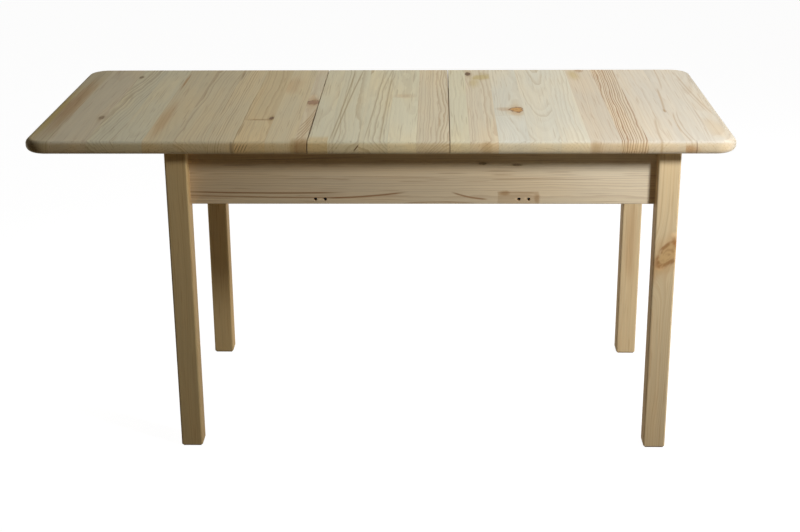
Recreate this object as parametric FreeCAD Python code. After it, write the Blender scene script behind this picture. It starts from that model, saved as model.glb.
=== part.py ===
import FreeCAD, Part
import math
import os

# Extending pine dining table, shown drawn out: two end leaves that slide on a fixed
# frame, and a drop-in insert leaf between them.
# Millimetres. Origin on the floor under the middle of the drawn-out top, +X along the
# table to the right, +Y to the back, +Z up.

V = FreeCAD.Vector

# Top: two end leaves and the insert leaf between them
LEAF_LENGTH = 600.0
INSERT_LENGTH = 300.0
TOP_WIDTH = 700.0
TOP_THICKNESS = 28.0
TABLE_HEIGHT = 733.0
TOP_CORNER_RADIUS = 48.0
TOP_EDGE_RADIUS = 12.5
LEFT_SEAM_GAP = 2.0
RIGHT_SEAM_GAP = 1.2

# Glued staves, from the left: the one at each end leaf's seam has a set width, and the
# others share the rest of their leaf's length in these proportions
LEFT_STAVE_SHARES = (57, 80, 59, 59, 66, 68, 60, 64, 61)
LEFT_SEAM_STAVE_WIDTH = 26.0
INSERT_STAVE_SHARES = (42, 66, 61, 61, 70)
RIGHT_SEAM_STAVE_WIDTH = 41.0
RIGHT_STAVE_SHARES = (60, 65, 65, 60, 65, 55, 77, 62, 50)

# How far the left leaf is drawn out, and how much further it still goes
LEFT_PULL = 240.0
LEFT_SPARE_TRAVEL = 20.0

# Frame: four legs and four aprons, flush with each other inside
FRAME_LENGTH = 1100.0
FRAME_SETBACK = 55.0
LEG_SECTION = 48.0
LEG_EDGE_RADIUS = 4.0
LEG_FOOT_CHAMFER = 5.0
APRON_HEIGHT = 133.0
APRON_THICKNESS = 21.0
APRON_EASING = 2.0

# Dowels between aprons and legs, heights as shares of the apron's height
DOWEL_DIAMETER = 8.0
DOWEL_LENGTH = 40.0
DOWEL_END_ROOM = 1.0
LONG_APRON_DOWELS = (0.19, 0.79)
END_APRON_DOWELS = (0.46, 0.64)

# Corner blocks and the hanger bolts that draw the legs in
BLOCK_LENGTH = 90.0
BLOCK_THICKNESS = 32.0
BLOCK_MARGIN = 10.0
HANGER_DIAMETER = 8.0
HANGER_BITE = 36.0
HANGER_TAIL = 4.0
HANGER_CLEARANCE = 0.5
HANGER_HEIGHT_SHARE = 0.31
WASHER_DIAMETER = 18.0
WASHER_THICKNESS = 1.6
NUT_WIDTH = 13.0
NUT_HEIGHT = 6.5

# Bearers that cross the frame and carry the insert leaf when it is put away
BEARER_SPACING = 440.0
BEARER_WIDTH = 45.0
BEARER_THICKNESS = 22.0
BEARER_SCREW_SPACING = 21.0

# Guides on the long aprons and the grooved runners under the leaves
GUIDE_DEPTH = 20.0
GUIDE_HEIGHT = 14.0
GUIDE_END_ROOM = 2.0
GUIDE_SCREW_COUNT = 5
RUNNER_HEIGHT = 40.0
RUNNER_LIP = 12.0
RUNNER_WEB = 16.0
RUNNER_SETBACK = 2.0
RUNNER_STOP_ROOM = 1.0
RUNNER_SCREW_COUNT = 4
SLIDE_CLEARANCE = 0.4

# One size of wood screw, sunk in a counterbore
SCREW_SHANK = 4.0
SCREW_HEAD = 7.0
SCREW_HEAD_HEIGHT = 3.0
SCREW_CLEARANCE = 0.2
SCREW_TIP_ROOM = 1.0
SCREW_RECESS_WIDTH = 1.2
COUNTERBORE = 7.4
APRON_BORE_DEPTH = 10.0
BEARER_BITE = 30.0
GUIDE_BORE_DEPTH = 6.0
GUIDE_BITE = 14.0
BLOCK_BITE = 14.0
BLOCK_SEAT = 12.0
RUNNER_BORE_DEPTH = 12.0
RUNNER_BITE = 16.0

# Pins that line up the edges at the seams
PIN_DIAMETER = 8.0
PIN_EMBED = 30.0
PIN_REACH = 12.0
PIN_EDGE_MARGIN = 120.0
PIN_CLEARANCE = 0.4
PIN_HOLE_ROOM = 2.0

# Cutting tools stand this far out of the face that they enter
OVERCUT = 1.0

# Places that follow from the sizes above
RIGHT_PULL = INSERT_LENGTH - LEFT_PULL
TRAVEL = LEFT_PULL + LEFT_SPARE_TRAVEL
FRAME_X = (LEFT_PULL - RIGHT_PULL) / 2
LEFT_SEAM_X = FRAME_X - LEFT_PULL
RIGHT_SEAM_X = FRAME_X + RIGHT_PULL
FRAME_DEPTH = TOP_WIDTH - 2 * FRAME_SETBACK
INSIDE_X = FRAME_LENGTH / 2 - LEG_SECTION
INSIDE_Y = FRAME_DEPTH / 2 - LEG_SECTION
TOP_Z = TABLE_HEIGHT - TOP_THICKNESS
APRON_Z = TOP_Z - APRON_HEIGHT
RUNNER_Z = TOP_Z - RUNNER_HEIGHT
GUIDE_Z = RUNNER_Z + RUNNER_LIP + SLIDE_CLEARANCE
RUNNER_WIDTH = GUIDE_DEPTH + RUNNER_WEB
RUNNER_LENGTH = INSIDE_X - TRAVEL - RUNNER_SETBACK - RUNNER_STOP_ROOM
PIN_Z = TOP_Z + TOP_THICKNESS / 2
SIDES = {"left": -1, "right": 1}
ROWS = {"front": -1, "rear": 1}


def block(x, y, z):
    """Box between pairs of limits along X, Y and Z, in either order."""
    low = V(min(x), min(y), min(z))
    high = V(max(x), max(y), max(z))
    size = high - low
    return Part.makeBox(size.x, size.y, size.z, low)


def rod(diameter, start, end):
    """Round bar from one point to another."""
    along = end - start
    return Part.makeCylinder(diameter / 2, along.Length, start, along)


def screw_with_holes(mouth, direction, bore_depth, through, bite):
    """Sunk screw, the hole through the first piece and the pilot hole in the second one."""
    seat = mouth + direction * bore_depth
    joint = mouth + direction * through
    tip = joint + direction * bite
    head = rod(SCREW_HEAD, seat - direction * SCREW_HEAD_HEIGHT, seat)
    recess_depth = SCREW_HEAD_HEIGHT / 2
    slot_size = (SCREW_HEAD * 0.6, SCREW_RECESS_WIDTH)
    slots = []
    for length, width in (slot_size, slot_size[::-1]):
        slot = Part.makeBox(length, width, recess_depth + OVERCUT, V(-length / 2, -width / 2, -recess_depth))
        slot.Placement = FreeCAD.Placement(
            seat - direction * SCREW_HEAD_HEIGHT, FreeCAD.Rotation(V(0, 0, 1), direction * -1))
        slots.append(slot)
    screw = head.fuse(rod(SCREW_SHANK, seat, tip)).cut(slots)
    bore = rod(COUNTERBORE, mouth - direction * OVERCUT, seat)
    passage = rod(SCREW_SHANK + 2 * SCREW_CLEARANCE, seat, joint)
    pilot = rod(SCREW_SHANK, joint, tip + direction * SCREW_TIP_ROOM)
    return screw, bore.fuse(passage), pilot


def evenly(low, high, count):
    """Evenly spaced places from low to high."""
    step = (high - low) / (count - 1)
    return [low + step * index for index in range(count)]


def add_holes(piece, tools):
    """Keep cutting tools for a piece until all of them are known."""
    holes.setdefault(piece, []).extend(tools)


def make_legs():
    """Square legs with rounded edges and a chamfered foot."""
    for row, sy in ROWS.items():
        for side, sx in SIDES.items():
            inner = V(FRAME_X + sx * INSIDE_X, sy * INSIDE_Y, 0)
            outer = inner + V(sx, sy, 0) * LEG_SECTION
            leg = block((inner.x, outer.x), (inner.y, outer.y), (0, TOP_Z))
            uprights = [e for e in leg.Edges if abs(e.tangentAt(e.FirstParameter).z) > 0.9]
            leg = leg.makeFillet(LEG_EDGE_RADIUS, uprights)
            foot = [e for e in leg.Edges if e.BoundBox.ZMax < LEG_EDGE_RADIUS / 2]
            pieces[f"{row}_{side}_leg"] = leg.makeChamfer(LEG_FOOT_CHAMFER, foot)


def ease_lower_edges(apron, along):
    """Round the two long lower edges of an apron."""
    lower = [e for e in apron.Edges if e.BoundBox.ZMax < APRON_Z + APRON_EASING
             and abs(e.tangentAt(e.FirstParameter).dot(along)) > 0.9]
    return apron.makeFillet(APRON_EASING, lower)


def make_aprons():
    """Two long aprons and two end aprons between the legs."""
    for row, sy in ROWS.items():
        long_apron = block((FRAME_X - INSIDE_X, FRAME_X + INSIDE_X),
                           (sy * INSIDE_Y, sy * (INSIDE_Y + APRON_THICKNESS)), (APRON_Z, TOP_Z))
        pieces[f"{row}_apron"] = ease_lower_edges(long_apron, V(1, 0, 0))
    for side, sx in SIDES.items():
        end_apron = block((FRAME_X + sx * INSIDE_X, FRAME_X + sx * (INSIDE_X + APRON_THICKNESS)),
                          (-INSIDE_Y, INSIDE_Y), (APRON_Z, TOP_Z))
        pieces[f"{side}_apron"] = ease_lower_edges(end_apron, V(0, 1, 0))


def make_dowels():
    """Dowels that locate each apron's ends in the legs."""
    dowels = []
    half = DOWEL_LENGTH / 2
    middle = APRON_THICKNESS / 2
    for row, sy in ROWS.items():
        for side, sx in SIDES.items():
            corner = V(FRAME_X + sx * INSIDE_X, sy * INSIDE_Y, APRON_Z)
            runs = [(f"{row}_apron", V(sx, 0, 0), V(0, sy * middle, 0), LONG_APRON_DOWELS),
                    (f"{side}_apron", V(0, sy, 0), V(sx * middle, 0, 0), END_APRON_DOWELS)]
            for apron, along, aside, shares in runs:
                for share in shares:
                    centre = corner + aside + V(0, 0, share * APRON_HEIGHT)
                    reach = along * (half + DOWEL_END_ROOM)
                    dowels.append(rod(DOWEL_DIAMETER, centre - along * half, centre + along * half))
                    hole = rod(DOWEL_DIAMETER, centre - reach, centre + reach)
                    add_holes(apron, [hole])
                    add_holes(f"{row}_{side}_leg", [hole])
    pieces["apron_dowels"] = Part.makeCompound(dowels)


def make_corner_blocks():
    """Diagonal blocks in the frame's corners, with their screws and hanger bolts."""
    near = BLOCK_LENGTH - BLOCK_THICKNESS * math.sqrt(2)
    low = APRON_Z + BLOCK_MARGIN
    high = RUNNER_Z - BLOCK_MARGIN
    face = BLOCK_LENGTH / math.sqrt(2)
    bolt_z = APRON_Z + HANGER_HEIGHT_SHARE * APRON_HEIGHT
    stack = WASHER_THICKNESS + NUT_HEIGHT
    screws, bolts, washers, nuts = [], [], [], []
    for row, sy in ROWS.items():
        for side, sx in SIDES.items():
            corner = V(FRAME_X + sx * INSIDE_X, sy * INSIDE_Y, 0)
            plan = [(near, 0), (BLOCK_LENGTH, 0), (0, BLOCK_LENGTH), (0, near), (near, 0)]
            outline = [corner + V(-sx * u, -sy * v, low) for u, v in plan]
            name = f"{row}_{side}_corner_block"
            pieces[name] = Part.Face(Part.makePolygon(outline)).extrude(V(0, 0, high - low))
            middle = (near + BLOCK_LENGTH) / 2
            mouth_depth = BLOCK_LENGTH - middle + SCREW_HEAD
            for z in (low + (high - low) / 4, high - (high - low) / 4):
                fixings = [(f"{row}_apron", V(-sx * middle, -sy * mouth_depth, z), V(0, sy, 0)),
                           (f"{side}_apron", V(-sx * mouth_depth, -sy * middle, z), V(sx, 0, 0))]
                for apron, place, direction in fixings:
                    screw, passage, pilot = screw_with_holes(
                        corner + place, direction, mouth_depth - BLOCK_SEAT, mouth_depth, BLOCK_BITE)
                    screws.append(screw)
                    add_holes(name, [passage])
                    add_holes(apron, [pilot])
            inward = V(-sx, -sy, 0).normalize()
            centre = corner + V(0, 0, bolt_z)
            seat = centre + inward * face
            tail = seat + inward * (stack + HANGER_TAIL)
            tip = centre - inward * HANGER_BITE
            bolts.append(rod(HANGER_DIAMETER, tail, tip))
            washer = rod(WASHER_DIAMETER, seat, seat + inward * WASHER_THICKNESS)
            bore = rod(HANGER_DIAMETER + 2 * HANGER_CLEARANCE, tail, centre)
            washers.append(washer.cut(bore))
            nuts.append(make_nut(seat + inward * WASHER_THICKNESS, inward))
            add_holes(name, [bore])
            relief = rod(HANGER_DIAMETER + 2 * HANGER_CLEARANCE, seat, tip)
            add_holes(f"{row}_apron", [relief])
            add_holes(f"{side}_apron", [relief])
            add_holes(f"{row}_{side}_leg", [rod(HANGER_DIAMETER, centre, tip - inward * SCREW_TIP_ROOM)])
    pieces["corner_block_screws"] = Part.makeCompound(screws)
    pieces["hanger_bolts"] = Part.makeCompound(bolts)
    pieces["hanger_washers"] = Part.makeCompound(washers)
    pieces["hanger_nuts"] = Part.makeCompound(nuts)


def make_nut(seat, direction):
    """Hexagon nut that stands on a seat along a level direction."""
    radius = NUT_WIDTH / 2 / math.cos(math.pi / 6)
    across = direction.cross(V(0, 0, 1))
    corners = []
    for step in range(7):
        angle = math.pi / 3 * step
        corners.append(seat + V(0, 0, 1) * (radius * math.cos(angle)) + across * (radius * math.sin(angle)))
    hexagon = Part.Face(Part.makePolygon(corners)).extrude(direction * NUT_HEIGHT)
    top = seat + direction * NUT_HEIGHT
    return hexagon.cut(rod(HANGER_DIAMETER, seat - direction * OVERCUT, top + direction * OVERCUT))


def make_bearers():
    """Flat bearers across the frame, screwed through the long aprons near their lower edges."""
    screws = []
    for side, sx in SIDES.items():
        centre = FRAME_X + sx * BEARER_SPACING / 2
        name = f"{side}_bearer"
        pieces[name] = block((centre - BEARER_WIDTH / 2, centre + BEARER_WIDTH / 2),
                             (-INSIDE_Y, INSIDE_Y), (APRON_Z, APRON_Z + BEARER_THICKNESS))
        for row, sy in ROWS.items():
            for offset in (-BEARER_SCREW_SPACING / 2, BEARER_SCREW_SPACING / 2):
                mouth = V(centre + offset, sy * (INSIDE_Y + APRON_THICKNESS), APRON_Z + BEARER_THICKNESS / 2)
                screw, passage, pilot = screw_with_holes(
                    mouth, V(0, -sy, 0), APRON_BORE_DEPTH, APRON_THICKNESS, BEARER_BITE)
                screws.append(screw)
                add_holes(f"{row}_apron", [passage])
                add_holes(name, [pilot])
    pieces["bearer_screws"] = Part.makeCompound(screws)


def make_guides():
    """Hardwood guide strips on the inner faces of the long aprons."""
    screws = []
    ends = (FRAME_X - INSIDE_X + GUIDE_END_ROOM, FRAME_X + INSIDE_X - GUIDE_END_ROOM)
    span = (ends[1] - ends[0]) / GUIDE_SCREW_COUNT
    for row, sy in ROWS.items():
        name = f"{row}_guide"
        inner = sy * (INSIDE_Y - GUIDE_DEPTH)
        pieces[name] = block(ends, (sy * INSIDE_Y, inner), (GUIDE_Z, GUIDE_Z + GUIDE_HEIGHT))
        for x in evenly(ends[0] + span / 2, ends[1] - span / 2, GUIDE_SCREW_COUNT):
            mouth = V(x, inner, GUIDE_Z + GUIDE_HEIGHT / 2)
            screw, passage, pilot = screw_with_holes(
                mouth, V(0, sy, 0), GUIDE_BORE_DEPTH, GUIDE_DEPTH, GUIDE_BITE)
            screws.append(screw)
            add_holes(name, [passage])
            add_holes(f"{row}_apron", [pilot])
    pieces["guide_screws"] = Part.makeCompound(screws)


def rounded_slab(left, right, free_left, free_right):
    """Slab of the top with rounded outside edges, and rounded corners at its free ends."""
    spare = 2 * TOP_CORNER_RADIUS
    ends = (left - (0 if free_left else spare), right + (0 if free_right else spare))
    sides = (-TOP_WIDTH / 2, TOP_WIDTH / 2)
    slab = block(ends, sides, (TOP_Z, TABLE_HEIGHT))
    uprights = [e for e in slab.Edges if abs(e.tangentAt(e.FirstParameter).z) > 0.9]
    slab = slab.makeFillet(TOP_CORNER_RADIUS, uprights)
    rims = [e for e in slab.Edges if e.BoundBox.ZLength < TOP_EDGE_RADIUS / 2]
    slab = slab.makeFillet(min(TOP_EDGE_RADIUS, TOP_THICKNESS * 0.45), rims)
    return slab.common(block((left, right), sides, (TOP_Z, TABLE_HEIGHT)))


def glue_lines(left, right, shares):
    """Places that divide a length in the given proportions, both ends included."""
    lines = [left]
    for share in shares:
        lines.append(lines[-1] + (right - left) * share / sum(shares))
    return lines


def split_staves(name, slab, lines):
    """Cut a slab at its glue lines into staves that run from front to back."""
    for number, stave in enumerate(zip(lines, lines[1:]), 1):
        cell = block(stave, (-TOP_WIDTH / 2, TOP_WIDTH / 2), (TOP_Z, TABLE_HEIGHT))
        pieces[f"{name}_stave_{number}"] = slab.common(cell)


def pin_places(side):
    """Places of a leaf's pins along its seam edge; the two leaves' pins miss each other."""
    reach = TOP_WIDTH / 2 - PIN_EDGE_MARGIN
    if side == "left":
        return (-reach, 0.0, reach)
    return (-reach / 2, reach / 2)


def make_leaf(side):
    """One sliding end leaf: staves, runners with their screws, and locating pins."""
    sx = SIDES[side]
    other = "right" if side == "left" else "left"
    seam = LEFT_SEAM_X if side == "left" else RIGHT_SEAM_X
    outer = seam + sx * LEAF_LENGTH
    slab = rounded_slab(min(seam, outer), max(seam, outer), side == "left", side == "right")
    pins = []
    tools = []
    for y in pin_places(side):
        root = V(seam + sx * PIN_EMBED, y, PIN_Z)
        pins.append(rod(PIN_DIAMETER, root, V(seam - sx * PIN_REACH, y, PIN_Z)))
        tools.append(rod(PIN_DIAMETER, root, V(seam - sx * OVERCUT, y, PIN_Z)))
    for y in pin_places(other):
        bottom = V(seam + sx * (PIN_REACH + PIN_HOLE_ROOM), y, PIN_Z)
        tools.append(rod(PIN_DIAMETER + 2 * PIN_CLEARANCE, bottom, V(seam - sx * OVERCUT, y, PIN_Z)))
    pieces[f"{side}_locating_pins"] = Part.makeCompound(pins)
    screws = []
    inner_end = seam + sx * RUNNER_SETBACK
    outer_end = inner_end + sx * RUNNER_LENGTH
    span = RUNNER_LENGTH / RUNNER_SCREW_COUNT
    for row, sy in ROWS.items():
        name = f"{side}_{row}_runner"
        face = INSIDE_Y - SLIDE_CLEARANCE
        back = face - RUNNER_WIDTH
        runner = block((inner_end, outer_end), (sy * back, sy * face), (RUNNER_Z, TOP_Z))
        groove = block((inner_end - sx * OVERCUT, outer_end + sx * OVERCUT),
                       (sy * (INSIDE_Y - GUIDE_DEPTH - SLIDE_CLEARANCE), sy * (face + OVERCUT)),
                       (GUIDE_Z - SLIDE_CLEARANCE, GUIDE_Z + GUIDE_HEIGHT + SLIDE_CLEARANCE))
        pieces[name] = runner.cut(groove)
        for x in evenly(inner_end + sx * span / 2, outer_end - sx * span / 2, RUNNER_SCREW_COUNT):
            mouth = V(x, sy * (back + RUNNER_WEB / 2), RUNNER_Z)
            screw, passage, pilot = screw_with_holes(
                mouth, V(0, 0, 1), RUNNER_BORE_DEPTH, RUNNER_HEIGHT, RUNNER_BITE)
            screws.append(screw)
            add_holes(name, [passage])
            tools.append(pilot)
    pieces[f"{side}_runner_screws"] = Part.makeCompound(screws)
    if side == "left":
        lines = glue_lines(outer, seam - LEFT_SEAM_STAVE_WIDTH, LEFT_STAVE_SHARES) + [seam]
    else:
        lines = [seam] + glue_lines(seam + RIGHT_SEAM_STAVE_WIDTH, outer, RIGHT_STAVE_SHARES)
    split_staves(side, slab.cut(tools), lines)


def make_insert():
    """Drop-in leaf, with slots open below that let it lift off the leaves' pins."""
    left = LEFT_SEAM_X + LEFT_SEAM_GAP
    right = RIGHT_SEAM_X - RIGHT_SEAM_GAP
    slab = rounded_slab(left, right, False, False)
    slot_width = PIN_DIAMETER + 2 * PIN_CLEARANCE
    slots = []
    for side, sx in SIDES.items():
        seam = LEFT_SEAM_X if side == "left" else RIGHT_SEAM_X
        ends = (seam + sx * OVERCUT, seam - sx * (PIN_REACH + PIN_HOLE_ROOM))
        for y in pin_places(side):
            slots.append(rod(slot_width, V(ends[0], y, PIN_Z), V(ends[1], y, PIN_Z)))
            slots.append(block(ends, (y - slot_width / 2, y + slot_width / 2), (TOP_Z - OVERCUT, PIN_Z)))
    split_staves("insert", slab.cut(slots), glue_lines(left, right, INSERT_STAVE_SHARES))


pieces = {}
holes = {}
make_legs()
make_aprons()
make_dowels()
make_corner_blocks()
make_bearers()
make_guides()
make_leaf("left")
make_leaf("right")
make_insert()
for piece, tools in holes.items():
    pieces[piece] = pieces[piece].cut(tools)
os.makedirs("parts", exist_ok=True)
for piece, shape in pieces.items():
    shape.exportStep(f"parts/{piece}.step")
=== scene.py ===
import logging
import math
from dataclasses import dataclass
from enum import Enum

import bpy
from mathutils import Matrix, Vector


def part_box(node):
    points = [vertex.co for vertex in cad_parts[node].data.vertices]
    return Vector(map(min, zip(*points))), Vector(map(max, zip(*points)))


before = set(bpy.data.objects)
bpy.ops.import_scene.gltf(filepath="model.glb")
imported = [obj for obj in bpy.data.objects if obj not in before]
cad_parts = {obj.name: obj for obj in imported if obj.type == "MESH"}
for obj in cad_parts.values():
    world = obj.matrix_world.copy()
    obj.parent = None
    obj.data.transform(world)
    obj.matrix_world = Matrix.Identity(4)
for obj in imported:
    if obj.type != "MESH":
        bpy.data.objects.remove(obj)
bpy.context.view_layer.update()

log = logging.getLogger("pine_table")

Colour = tuple[float, float, float]
Triple = tuple[float, float, float]
Pair = tuple[float, float]
Socket = bpy.types.NodeSocket
Feed = float | tuple | Vector | Socket

# Photograph's width in pixels
IMAGE_WIDTH = 800


def paint(red: int, green: int, blue: int) -> Colour:
    """Turn an 8-bit display colour into the linear colour that shaders use.

    Args:
        red: Red, 0 to 255.
        green: Green, 0 to 255.
        blue: Blue, 0 to 255.

    Returns:
        The linear colour.
    """
    def linear(level: int) -> float:
        """Undo the display curve for one channel."""
        share = level / 255
        return share / 12.92 if share <= 0.04045 else ((share + 0.055) / 1.055) ** 2.4
    return (linear(red), linear(green), linear(blue))


class GrainAxis(Enum):
    """Which table axes run across, along and through a board's grain."""

    X = ("Z", "X", "Y")
    Y = ("X", "Y", "Z")
    Z = ("X", "Z", "Y")


class Cut(Enum):
    """Where the log's pith lies from a board's middle: across and through, in metres."""

    FLAT = (0.006, -0.036)
    RIFT = (0.052, -0.054)
    QUARTER = (0.140, -0.012)
    RAIL = (-0.128, -0.030)


class Tone(Enum):
    """Pine colours: pale early wood, darker late wood, and how strongly rings show."""

    CLEAR = (paint(225, 217, 194), paint(180, 156, 116), 0.60)
    PALE = (paint(229, 219, 186), paint(168, 142, 98), 0.65)
    EVEN = (paint(217, 206, 185), paint(176, 144, 102), 0.65)
    PINK = (paint(226, 212, 182), paint(178, 144, 104), 0.65)
    SAND = (paint(217, 203, 178), paint(174, 138, 98), 0.65)
    TAN = (paint(226, 211, 178), paint(174, 138, 92), 0.65)
    WARM = (paint(224, 208, 170), paint(168, 132, 84), 0.65)
    HONEY = (paint(223, 202, 158), paint(168, 128, 78), 0.65)
    STRIPED = (paint(219, 203, 174), paint(154, 112, 74), 0.80)
    LEG = (paint(226, 201, 156), paint(188, 144, 92), 0.55)
    # Painted shade: a darker, browner copy of the leg tone for the two left legs, on the table's shaded
    # side
    SHADED_SIDE_LEG = (paint(216, 187, 132), paint(172, 124, 74), 0.55)
    RAIL = (paint(226, 204, 166), paint(150, 104, 62), 0.75)


class KnotKind(Enum):
    """Knot colours: heart, rim and the stained wood around it."""

    PIN = (paint(104, 76, 50), paint(60, 42, 28), paint(186, 160, 122))
    FAINT = (paint(150, 128, 96), paint(112, 92, 68), paint(206, 186, 152))
    RED = (paint(170, 134, 102), paint(112, 78, 56), paint(218, 190, 158))
    ORANGE = (paint(202, 152, 86), paint(120, 74, 36), paint(226, 196, 148))
    BROWN = (paint(210, 172, 116), paint(160, 112, 64), paint(232, 198, 156))


class Bench:
    """Adds and wires nodes on one shader tree."""

    def __init__(self, tree: bpy.types.NodeTree) -> None:
        """Work on a node tree."""
        self.tree = tree

    def add(self, kind: str, **settings: object) -> bpy.types.Node:
        """Add a node.

        Args:
            kind: Node type after the prefix ShaderNode.
            **settings: Properties to set on it.

        Returns:
            The node.
        """
        node = self.tree.nodes.new("ShaderNode" + kind)
        for name, value in settings.items():
            setattr(node, name, value)
        return node

    def feed(self, socket: Socket, value: Feed) -> None:
        """Link a socket to another one, or set its value.

        Args:
            socket: The input socket.
            value: What it gets. A colour may leave out its alpha.
        """
        if isinstance(value, bpy.types.NodeSocket):
            self.tree.links.new(value, socket)
        elif socket.type == "RGBA" and len(value) == 3:
            socket.default_value = (*value, 1.0)
        else:
            socket.default_value = value

    def math(self, operation: str, first: Feed, second: Feed = 0.0, third: Feed = 0.0) -> Socket:
        """One step of arithmetic.

        Args:
            operation: Name of the Math node's operation.
            first: First value.
            second: Second value.
            third: Third value, for the operations that take one.

        Returns:
            The result's socket.
        """
        node = self.add("Math", operation=operation)
        for socket, value in zip(node.inputs, (first, second, third)):
            self.feed(socket, value)
        return node.outputs[0]

    def vector_math(self, operation: str, first: Feed, second: Feed = (0.0, 0.0, 0.0)) -> Socket:
        """One step of arithmetic on vectors.

        Args:
            operation: Name of the Vector Math node's operation.
            first: First vector.
            second: Second vector.

        Returns:
            The result's socket, a number for LENGTH.
        """
        node = self.add("VectorMath", operation=operation)
        self.feed(node.inputs[0], first)
        self.feed(node.inputs[1], second)
        return node.outputs["Value" if operation == "LENGTH" else "Vector"]

    def vector(self, x: Feed, y: Feed, z: Feed) -> Socket:
        """Join three values into a vector.

        Args:
            x: First value.
            y: Second value.
            z: Third value.

        Returns:
            The vector's socket.
        """
        node = self.add("CombineXYZ")
        for socket, value in zip(node.inputs, (x, y, z)):
            self.feed(socket, value)
        return node.outputs[0]

    def split(self, vector: Socket) -> tuple[Socket, Socket, Socket]:
        """Take a vector's three values apart.

        Args:
            vector: The vector's socket.

        Returns:
            The values' sockets.
        """
        node = self.add("SeparateXYZ")
        self.feed(node.inputs[0], vector)
        return node.outputs[0], node.outputs[1], node.outputs[2]

    def step(self, value: Feed, low: float, high: float, start: Feed = 0.0, end: Feed = 1.0) -> Socket:
        """Smooth step from start to end as value goes from low to high.

        Args:
            value: What is measured.
            low: Value where the step starts.
            high: Value where it ends.
            start: Result below low.
            end: Result above high.

        Returns:
            The result's socket.
        """
        node = self.add("MapRange", interpolation_type="SMOOTHSTEP")
        for socket, item in zip(node.inputs, (value, low, high, start, end)):
            self.feed(socket, item)
        return node.outputs[0]

    def fall(self, value: Feed, low: float, high: float, start: Feed = 1.0) -> Socket:
        """Smooth step down from start to nothing as value goes from low to high."""
        return self.step(value, low, high, start, 0.0)

    def noise(self, place: Socket, scale: Triple, seed: Feed, detail: float = 2.0) -> bpy.types.NodeOutputs:
        """Seeded noise, stretched along each axis.

        Args:
            place: Coordinates.
            scale: Waves per unit along each axis.
            seed: Seed of the pattern.
            detail: Finer octaves that are added.

        Returns:
            The noise's outputs: a number first, then a colour.
        """
        node = self.add("TexNoise", noise_dimensions="4D")
        self.feed(node.inputs["Vector"], self.vector_math("MULTIPLY", place, scale))
        self.feed(node.inputs["W"], seed)
        node.inputs["Scale"].default_value = 1.0
        node.inputs["Detail"].default_value = detail
        return node.outputs

    def mix(self, share: Feed, first: Feed, second: Feed, blend: str = "MIX") -> Socket:
        """Mix two colours.

        Args:
            share: How much of the second one, 0 to 1.
            first: First colour.
            second: Second colour.
            blend: Name of the Mix node's blend type.

        Returns:
            The mixed colour's socket.
        """
        node = self.add("Mix", data_type="RGBA", blend_type=blend)
        self.feed(node.inputs[0], share)
        self.feed(node.inputs[6], first)
        self.feed(node.inputs[7], second)
        return node.outputs[2]

    def shade(self, colour: Feed, level: Socket) -> Socket:
        """Darken or lighten a colour by a number."""
        return self.mix(1.0, colour, self.vector(level, level, level), "MULTIPLY")

    def bump(self, height: Socket, strength: float, distance: float) -> Socket:
        """Bend the surface's normal by a height.

        Args:
            height: The height, 0 to about 1.
            strength: How much of the bump shows, 0 to 1.
            distance: What a height of 1 stands for, in metres.

        Returns:
            The normal's socket.
        """
        node = self.add("Bump")
        for name, value in (("Height", height), ("Strength", strength), ("Distance", distance)):
            self.feed(node.inputs[name], value)
        return node.outputs[0]


class RecipeGroup:
    """A shader node group with named inputs and outputs."""

    def __init__(self, name: str, inputs: dict[str, str], outputs: dict[str, str]) -> None:
        """Make the empty group.

        Args:
            name: Name of the group.
            inputs: Input names with their socket types, after the prefix NodeSocket.
            outputs: Output names with their socket types.
        """
        self.tree = bpy.data.node_groups.new(name, "ShaderNodeTree")
        for way, sockets in (("INPUT", inputs), ("OUTPUT", outputs)):
            for label, kind in sockets.items():
                self.tree.interface.new_socket(label, in_out=way, socket_type="NodeSocket" + kind)
        self.bench = Bench(self.tree)
        self.start = self.tree.nodes.new("NodeGroupInput").outputs
        self.end = self.tree.nodes.new("NodeGroupOutput").inputs

    def use(self, bench: Bench, feeds: dict[str, Feed]) -> bpy.types.NodeOutputs:
        """Place the group on a tree.

        Args:
            bench: Bench of the tree that uses it.
            feeds: Values or links for the inputs.

        Returns:
            The placed group's outputs.
        """
        node = bench.add("Group", node_tree=self.tree)
        for label, value in feeds.items():
            bench.feed(node.inputs[label], value)
        return node.outputs


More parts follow.
